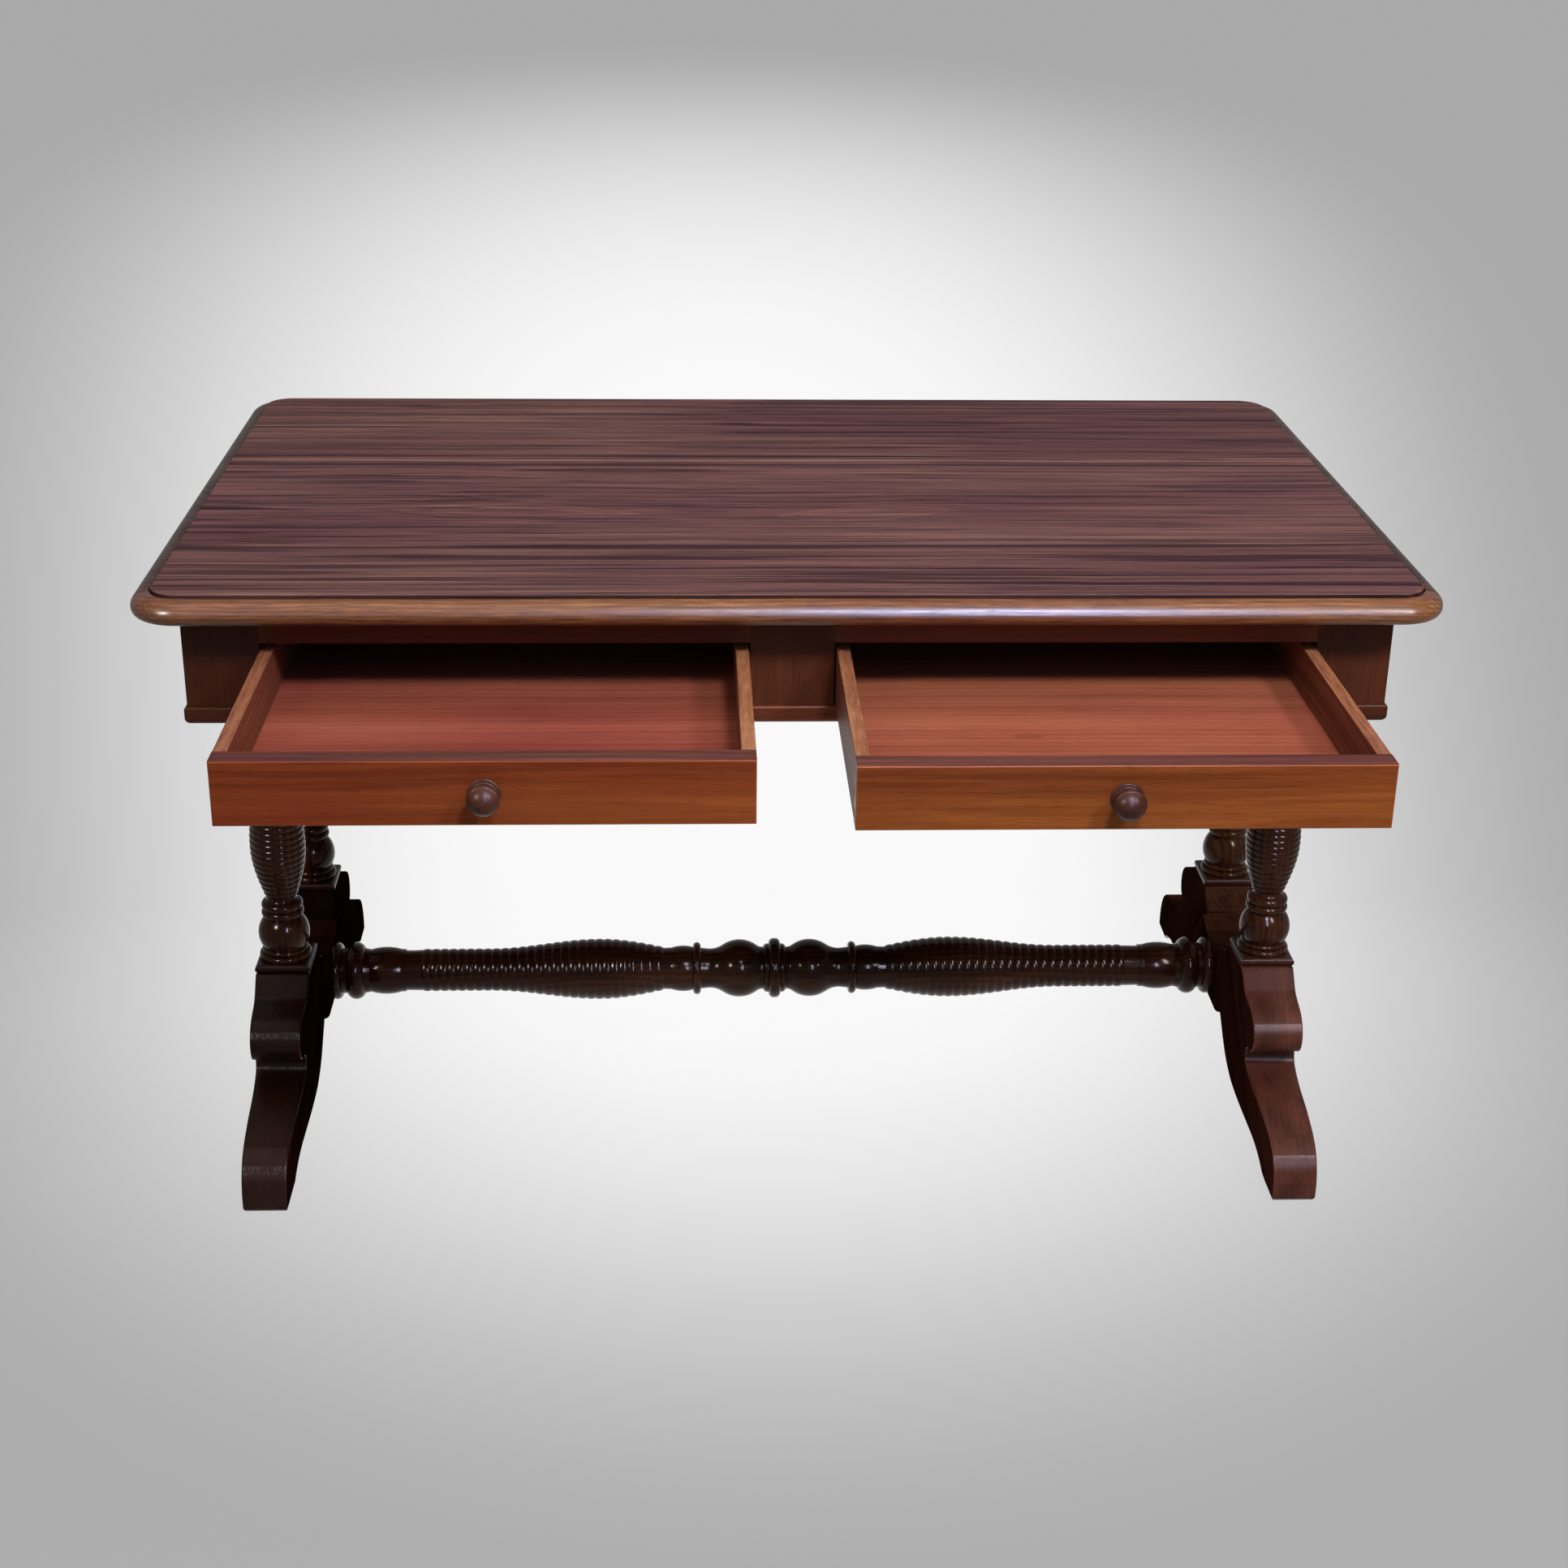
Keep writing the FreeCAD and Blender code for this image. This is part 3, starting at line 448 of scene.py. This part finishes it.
def wood(kind, grain, shift=(0, 0, 0), lighten=1.0):
    name = finishName(kind, grain, shift, lighten)
    if name in finishes:
        return finishes[name]
    look = dict(plainWood, **woods[kind])
    tones = [[part * lighten for part in look[tone]] for tone in ("dark", "middle", "light")]
    material, tree, shader = newMaterial(name)
    coords = newNode(tree, "ShaderNodeTexCoord").outputs["Object"]
    here = newNode(tree, "ShaderNodeSeparateXYZ")
    tree.links.new(coords, here.inputs[0])
    along, bent = grainSpace(tree, coords, look, grain, shift)
    streaks = noiseAlong(tree, bent, look["streakScale"], detail=6.0, roughness=look["streakRoughness"])
    lines = noiseAlong(tree, bent, look["lineScale"], detail=2.0).outputs["Fac"]
    fibres = noiseAlong(tree, along, look["fibreScale"], detail=2.0).outputs["Fac"]
    pores = noiseAlong(tree, along, look["poreScale"], detail=1.0).outputs["Fac"]
    streaks = fitRange(tree, streaks.outputs["Fac"], *look["streakRange"], 0, 1)
    fibres = fitRange(tree, fibres, *look["fibreRange"], 0, 1)
    poreMask = fitRange(tree, pores, *look["poreEdge"], 0, look["poreShare"])
    lineMask = fitRange(tree, lines, *look["lineEdge"], 0, look["lineShare"])
    shade = mathNode(tree, "MULTIPLY", growthRings(tree, bent, look), look["ringShare"])
    shade = mathNode(tree, "ADD", shade, mathNode(tree, "MULTIPLY", streaks, look["streakShare"]))
    shade = mathNode(tree, "ADD", shade, mathNode(tree, "MULTIPLY", fibres, look["fibreShare"]))
    shade = placedMarks(tree, here, look, shade)
    colour = colourRamp(tree, shade, tuple(zip(look["toneStops"], tones)))
    colour = drifted(tree, along, look, colour)
    colour = multiplied(tree, colour, lineMask, look["line"])
    colour = multiplied(tree, colour, poreMask, look["pore"])
    # painted shade: the top's edge darkens from the front towards its ends and back
    if "fade" in look:
        start, end, tone = look["fade"]
        colour = multiplied(tree, colour, fitRange(tree, here.outputs["Y"], start, end, 0, 1), tone)
    tree.links.new(colour, shader.inputs["Base Color"])
    height = mathNode(tree, "ADD", poreMask, mathNode(tree, "MULTIPLY", fibres, look["fibreBump"]))
    setGloss(tree, shader, look, shade, height)
    finishes[name] = material
    return material


steel = {
    "colour": (0.33, 0.31, 0.29),
    "stainTone": 0.35,
    "stainScale": (420, 420, 420),
    "stainStops": (0.35, 0.65),
    "stainRange": (0.3, 0.7),
    "roughness": (0.57, 0.42),      # stained, clean
}


def screwSteel():
    material, tree, shader = newMaterial("screwSteel")
    coords = newNode(tree, "ShaderNodeTexCoord")
    stains = noiseAlong(tree, coords.outputs["Object"], steel["stainScale"], detail=3.0).outputs["Fac"]
    stained = [part * steel["stainTone"] for part in steel["colour"]]
    stops = tuple(zip(steel["stainStops"], (stained, steel["colour"])))
    tree.links.new(colourRamp(tree, stains, stops), shader.inputs["Base Color"])
    shader.inputs["Metallic"].default_value = 1.0
    rough = fitRange(tree, stains, *steel["stainRange"], *steel["roughness"])
    tree.links.new(rough, shader.inputs["Roughness"])
    return material


# what each node is finished with: wood and grain
nodeWoods = {
    "centre_stile": ("friezeWood", "z"),
    "front_drawer_rail": ("friezeWood", "x"),
    "back_apron": ("friezeWood", "x"),
    "back_moulding": ("friezeWood", "x"),
    "centre_runner": ("innerWood", "y"),
    "centre_guide": ("innerWood", "y"),
    "centre_kicker": ("innerWood", "y"),
    "corner_blocks": ("innerWood", "z"),
    "drawer_stops": ("innerWood", "x"),
    "stretcher": ("turnedWood", "x"),
}
for side in ("left", "right"):
    nodeWoods[side + "_end_stile"] = ("friezeWood", "z")
    nodeWoods[side + "_top_rail"] = ("friezeWood", "x")
    nodeWoods[side + "_end_apron"] = ("friezeWood", "y")
    nodeWoods[side + "_end_moulding"] = ("friezeWood", "y")
    nodeWoods[side + "_runner"] = ("innerWood", "y")
    nodeWoods[side + "_guide"] = ("innerWood", "y")
    nodeWoods[side + "_kicker"] = ("innerWood", "y")
    nodeWoods[side + "_top_bearer"] = ("legWood", "y")
    nodeWoods[side + "_centre_block"] = ("legFlankWood", "y")
    for end in ("front", "rear"):
        nodeWoods[side + "_" + end + "_post"] = ("turnedWood", "z")
        nodeWoods[side + "_" + end + "_plinth"] = ("legWood", "x")
    nodeWoods[side + "_drawer_front"] = ("drawerFrontWood", "x")
    nodeWoods[side + "_drawer_left_side"] = ("drawerSideWood", "y")
    nodeWoods[side + "_drawer_right_side"] = ("drawerSideWood", "y")
    nodeWoods[side + "_drawer_back"] = ("drawerSideWood", "x")
    nodeWoods[side + "_drawer_bottom"] = ("drawerLiningWood", "x")
    nodeWoods[side + "_drawer_knob"] = ("knobWood", "y")
nodeWoods["right_drawer_bottom"] = ("knottyLiningWood", "x")

# pieces that are lighter or darker than their wood; these tones also paint light and shade: the left-hand
# stiles, centre block and plinths darker than the right-hand ones as painted shade, the rails under the top
# lighter as a painted sheen
nodeTonesWithPaintedLight = {
    "left_top_rail": 1.8, "right_top_rail": 1.8, "front_drawer_rail": 1.7,
    "left_end_stile": 0.62, "centre_stile": 1.15, "right_end_stile": 0.95,
    "left_centre_block": 0.40, "right_centre_block": 0.55,
    "left_front_plinth": 0.65, "left_rear_plinth": 0.65,
    "right_front_plinth": 0.85, "right_rear_plinth": 0.85,
    "left_drawer_front": 1.20, "right_drawer_front": 1.06,
}

for name, (kind, grain) in nodeWoods.items():
    nodes[name].material_slots[0].material = wood(kind, grain, lighten=nodeTonesWithPaintedLight.get(name, 1.0))
steelFinish = screwSteel()
for name in ("top_screws", "bearer_screws"):
    nodes[name].material_slots[0].material = steelFinish
print("finishes made:", len(finishes) + 1)


# modelling helpers
facing = 0.9        # a face looks along an axis when this much of its normal does


def camel(nodeName):
    first, *rest = nodeName.split("_")
    return first + "".join(word.capitalize() for word in rest)


def selectOnly(piece):
    if bpy.context.mode != "OBJECT":
        bpy.ops.object.mode_set(mode="OBJECT")
    bpy.ops.object.select_all(action="DESELECT")
    piece.select_set(True)
    bpy.context.view_layer.objects.active = piece


def editFaces(piece, keep):
    selectOnly(piece)
    bpy.ops.object.mode_set(mode="EDIT")
    bpy.ops.mesh.select_mode(type="FACE")
    bpy.ops.mesh.select_all(action="DESELECT")
    bpy.ops.object.mode_set(mode="OBJECT")
    for face in piece.data.polygons:
        face.select = keep(face)
    bpy.ops.object.mode_set(mode="EDIT")


def editEdges(piece, keep):
    selectOnly(piece)
    bpy.ops.object.mode_set(mode="EDIT")
    bpy.ops.mesh.select_mode(type="EDGE")
    bpy.ops.mesh.select_all(action="DESELECT")
    bpy.ops.object.mode_set(mode="OBJECT")
    sides = {}
    for face in piece.data.polygons:
        for key in face.edge_keys:
            sides.setdefault(key, []).append(face)
    points = piece.data.vertices
    for edge in piece.data.edges:
        faces = sides.get(tuple(sorted(edge.vertices)), [])
        ends = [points[index].co for index in edge.vertices]
        edge.select = len(faces) == 2 and keep(ends[0], ends[1], faces[0], faces[1])
    bpy.ops.object.mode_set(mode="EDIT")


def smoothShade(piece, degrees):
    selectOnly(piece)
    bpy.ops.object.shade_smooth_by_angle(angle=math.radians(degrees))
    bpy.ops.object.modifier_add(type="WEIGHTED_NORMAL")
    piece.modifiers[-1].keep_sharp = True
    bpy.ops.object.modifier_apply(modifier=piece.modifiers[-1].name)


def cutOff(place, outward):
    bpy.ops.mesh.select_all(action="SELECT")
    bpy.ops.mesh.bisect(plane_co=place, plane_no=outward, use_fill=True, clear_outer=True)


def paint(piece, looks, finishOf):
    piece.data.materials.clear()
    for material in looks.values():
        piece.data.materials.append(material)
    order = list(looks)
    for face in piece.data.polygons:
        face.material_index = order.index(finishOf(face))


def standIn(piece, body, slot, *replaced):
    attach(piece, body)
    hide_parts(*replaced)


# top: one moulded slab, sawn into its three boards
topShape = {
    "size": (1.350, 0.850),
    "middle": (0.0, 0.150),
    "widestZ": 0.7435,          # where the nose stands out furthest
    "band": 0.0004,
    "cornerRadius": 0.052,
    "cornerSteps": 20,
    "upperNose": (0.0185, 0.0148),
    "lowerNose": (0.0085, 0.0095),
    "noseSteps": 12,
    # inward and upward from the nose: quirk, then the rounded edge of the field
    "quirk": ((0.0006, 0.0), (0.0005, -0.0016), (0.0012, 0.0), (0.0003, 0.0040), (0.0004, 0.0006),
              (0.0005, 0.0004), (0.0007, 0.0001)),
    "smoothDegrees": 40,
    # where the finishes meet: heights, y, and z of the faces' normals
    "quirkZ": 0.7567,
    "quirkSlack": 0.0001,
    "quirkSlope": 0.6,
    "fieldZ": 0.7612,
    "fieldSlope": 0.5,
    "flatSlope": 0.985,
    "underSlope": -0.99,
    "frontEdgeY": -0.232,
    # painted shade in the quirk's hollow
    "grimeTone": 0.30,
    "wornTone": 1.60,
    # name, front and rear y (None where it isn't sawn), wood, shift of the grain, tone
    "boards": (("front", None, -0.085, "frontTopWood", (0.70, 0.46, 0.05), 0.97),
               ("middle", -0.085, 0.247, "middleTopWood", (0.0, 0.0, 0.0), 1.05),
               ("rear", 0.247, None, "topWood", (-0.40, 0.20, 0.09), 0.97)),
}


def roundedSteps(reach, rise, steps):
    angles = [math.pi / 2 * step / steps for step in range(steps + 1)]
    points = [(reach * (1 - math.cos(angle)), rise * math.sin(angle)) for angle in angles]
    return [(b[0] - a[0], b[1] - a[1]) for a, b in zip(points, points[1:])]


def insetAlong(steps):
    for inward, onward in steps:
        bpy.ops.mesh.inset(thickness=inward, depth=onward)


def makeSlab():
    shape = topShape
    bpy.ops.object.select_all(action="DESELECT")
    bpy.ops.mesh.primitive_cube_add(size=1, location=(*shape["middle"], shape["widestZ"]))
    slab = bpy.context.object
    slab.scale = (*shape["size"], shape["band"])
    bpy.ops.object.transform_apply(location=True, rotation=True, scale=True)
    editEdges(slab, lambda a, b, first, second: abs(a.z - b.z) > shape["band"] / 2)
    bpy.ops.mesh.bevel(offset=shape["cornerRadius"], segments=shape["cornerSteps"], affect="EDGES")
    editFaces(slab, lambda face: face.normal.z > facing)
    insetAlong(roundedSteps(*shape["upperNose"], shape["noseSteps"]))
    insetAlong(shape["quirk"])
    editFaces(slab, lambda face: face.normal.z < -facing)
    insetAlong(roundedSteps(*shape["lowerNose"], shape["noseSteps"]))
    bpy.ops.object.mode_set(mode="OBJECT")
    return slab


def topFinish(face):
    height, upward = face.center.z, face.normal.z
    onField = height > topShape["fieldZ"] and upward > topShape["fieldSlope"]
    if onField and upward < topShape["flatSlope"]:
        return "wornEdge"
    if onField or upward < topShape["underSlope"]:
        return "field"
    if abs(height - topShape["quirkZ"]) < topShape["quirkSlack"]:
        return "quirk"
    if height > topShape["quirkZ"] and upward < topShape["quirkSlope"]:
        return "quirk"
    return "frontEdge" if face.center.y < topShape["frontEdgeY"] else "sideEdge"


def makeBoards():
    slab = makeSlab()
    for name, frontY, rearY, kind, shift, tone in topShape["boards"]:
        board = slab.copy()
        board.data = slab.data.copy()
        board.name = name + "TopBoard"
        scene.collection.objects.link(board)
        selectOnly(board)
        bpy.ops.object.mode_set(mode="EDIT")
        for y, outward in ((frontY, -1), (rearY, 1)):
            if y is not None:
                cutOff((0, y, 0), (0, outward, 0))
        bpy.ops.object.mode_set(mode="OBJECT")
        looks = {
            "field": wood(kind, "x", shift, tone),
            "frontEdge": wood("edgeWood", "x", shift),
            # the quirk darkened as painted shade
            "quirk": wood("topWood", "x", shift, topShape["grimeTone"]),
            "wornEdge": wood("topWood", "x", shift, topShape["wornTone"]),
            "sideEdge": wood("sideEdgeWood", "x", shift),
        }
        paint(board, looks, topFinish)
        smoothShade(board, topShape["smoothDegrees"])
        standIn(board, "table_frame", "top_wood", name + "_top_board")
    bpy.data.objects.remove(slab)


makeBoards()
print("top boards made")


# a node's own mesh, with its double points merged and its flat facets joined
merging = {"gap": 0.00002, "flatAngle": math.radians(0.5)}


def mergedCopy(nodeName):
    piece = bpy.data.objects.new(camel(nodeName), nodes[nodeName].data.copy())
    scene.collection.objects.link(piece)
    selectOnly(piece)
    bpy.ops.object.mode_set(mode="EDIT")
    bpy.ops.mesh.select_all(action="SELECT")
    bpy.ops.mesh.customdata_custom_splitnormals_clear()
    bpy.ops.mesh.remove_doubles(threshold=merging["gap"])
    bpy.ops.mesh.dissolve_limited(angle_limit=merging["flatAngle"])
    bpy.ops.object.mode_set(mode="OBJECT")
    return piece


# legs: a small round along the rims, a larger one under the foot
legEdges = {
    "rim": 0.0022,
    "steps": 3,
    "facet": math.radians(7),       # short facets of the sawn outline that run into one another
    "outline": 0.5,                 # faces of the outline are turned sideways less than this
    "tenonReach": 0.018,
    "rootReach": 0.052,
    "soleRound": 0.009,
    "soleHeight": 0.001,
    "soleCuts": (18, 36, 54, 72),
    "smoothDegrees": 38,
    # the left legs darker and the right ones lighter: painted shade and painted light from the lamps on the
    # right, over the wood's own tone
    "tones": {"left": 0.52, "right": 1.90},
    "rimTone": 1.4,
    "rimSlope": 0.3,
    # painted shade: the legs' flat sides darker than their fronts
    "flankTone": 0.65,
    "dullSlope": 0.4,               # the rear legs are as dull on top as on their sides, and as dark there, as painted shade
}


def roundSole(piece, middleX):
    lowest = [point.co.x for point in piece.data.vertices if point.co.z < legEdges["soleHeight"]]
    halfWidth = max(abs(x - middleX) for x in lowest)
    radius = legEdges["soleRound"]
    selectOnly(piece)
    bpy.ops.object.mode_set(mode="EDIT")
    for side in (-1, 1):
        for degrees in legEdges["soleCuts"]:
            out, down = math.cos(math.radians(degrees)), math.sin(math.radians(degrees))
            place = (middleX + side * (halfWidth - radius + radius * out), 0, radius - radius * down)
            cutOff(place, (side * out, 0, -down))
    bpy.ops.mesh.select_all(action="SELECT")
    bpy.ops.mesh.normals_make_consistent(inside=False)
    bpy.ops.object.mode_set(mode="OBJECT")


def makeLeg(side, end):
    nodeName = side + "_" + end + "_leg"
    piece = mergedCopy(nodeName)
    spread = [vertex.co.x for vertex in piece.data.vertices]
    middleX = (min(spread) + max(spread)) / 2
    middleY = topShape["middle"][1]
    editFaces(piece, lambda face: abs(face.normal.x) < legEdges["outline"])
    bpy.ops.mesh.dissolve_limited(angle_limit=legEdges["facet"], use_dissolve_boundaries=True)
    bpy.ops.object.mode_set(mode="OBJECT")

    def onRim(a, b, first, second):
        flat, narrow = sorted((abs(first.normal.x), abs(second.normal.x)), reverse=True)
        free = abs(a.x - middleX) > legEdges["tenonReach"] and abs(a.y - middleY) > legEdges["rootReach"]
        return flat > facing and narrow < legEdges["outline"] and free

    def legFinish(face):
        sideways = abs(face.normal.x)
        if sideways > facing or end == "rear" and face.normal.z > legEdges["dullSlope"]:
            return "flank"
        return "rim" if sideways > legEdges["rimSlope"] else "outline"

    editEdges(piece, onRim)
    bpy.ops.mesh.bevel(offset=legEdges["rim"], segments=legEdges["steps"], affect="EDGES",
                       clamp_overlap=False)
    bpy.ops.object.mode_set(mode="OBJECT")
    roundSole(piece, middleX)
    grain, tone = end + "Leg", legEdges["tones"][side]
    looks = {
        "outline": wood("legWood", grain, lighten=tone),
        "rim": wood("legWood", grain, lighten=tone * legEdges["rimTone"]),
        "flank": wood("legFlankWood", grain, lighten=tone * legEdges["flankTone"]),
    }
    paint(piece, looks, legFinish)
    smoothShade(piece, legEdges["smoothDegrees"])
    standIn(piece, "table_frame", "leg_wood", nodeName)


for side in ("left", "right"):
    for end in ("front", "rear"):
        makeLeg(side, end)
print("legs made")


# the other sawn pieces get eased edges, a little worn: width, shortest edge that is eased, slot
easing = {
    "friezeWood": (0.0004, 0.020, "frieze_wood"),
    "legWood": (0.0010, 0.020, "leg_wood"),
    "legFlankWood": (0.0010, 0.020, "leg_wood"),
    "drawerFrontWood": (0.0007, 0.060, "drawer_front_wood"),
    "drawerSideWood": (0.0011, 0.060, "drawer_lining_wood"),
}
# wood of the upper edges, where that differs
upperEdges = {"drawerFrontWood": "drawerEdgeWood", "drawerSideWood": "drawerRimWood"}
# the ends of the rail under the drawers match the stiles: how far out they start, tone
endTones = {"front_drawer_rail": (0.549, 0.80)}
easedEdges = {
    "steps": 2,
    "hollow": -1e-6,            # inner corners lie above this
    "sharp": 0.6,               # product of the two normals at an edge that is eased
    "straight": 0.97,
    "wornTone": 1.45,
    "smoothDegrees": 40,
}
easedNodes = [name for name, (kind, grain) in nodeWoods.items()
              if kind in easing and not name.endswith("_plinth")]


def makeEased(nodeName):
    kind, grain = nodeWoods[nodeName]
    width, shortest, slot = easing[kind]
    endX, endTone = endTones.get(nodeName, (None, 1.0))
    piece = mergedCopy(nodeName)

    def outside(a, b, first, second):
        convex = (second.center - first.center).dot(first.normal) < easedEdges["hollow"]
        return convex and first.normal.dot(second.normal) < easedEdges["sharp"] and (a - b).length > shortest

    def easedFinish(face):
        if kind in upperEdges and face.normal.z > facing:
            return "upper"
        if endX and abs(face.center.x) > endX:
            return "end"
        return "flat" if max(abs(part) for part in face.normal) > easedEdges["straight"] else "worn"

    editEdges(piece, outside)
    bpy.ops.mesh.bevel(offset=width, segments=easedEdges["steps"], affect="EDGES", clamp_overlap=True)
    if endX:
        for x in (-endX, endX):
            bpy.ops.mesh.select_all(action="SELECT")
            bpy.ops.mesh.bisect(plane_co=(x, 0, 0), plane_no=(1, 0, 0))
    bpy.ops.object.mode_set(mode="OBJECT")
    tone = nodeTonesWithPaintedLight.get(nodeName, 1.0)
    looks = {
        "flat": wood(kind, grain, lighten=tone),
        "worn": wood(kind, grain, lighten=tone * easedEdges["wornTone"]),
        "upper": wood(upperEdges.get(kind, kind), grain),
        "end": wood(kind, grain, lighten=endTone),
    }
    paint(piece, looks, easedFinish)
    smoothShade(piece, easedEdges["smoothDegrees"])
    drawers = ("left_drawer", "right_drawer")
    body = next((drawer for drawer in drawers if nodeName.startswith(drawer)), "table_frame")
    standIn(piece, body, slot, nodeName)


for name in easedNodes:
    makeEased(name)
print("eased pieces made:", len(easedNodes))
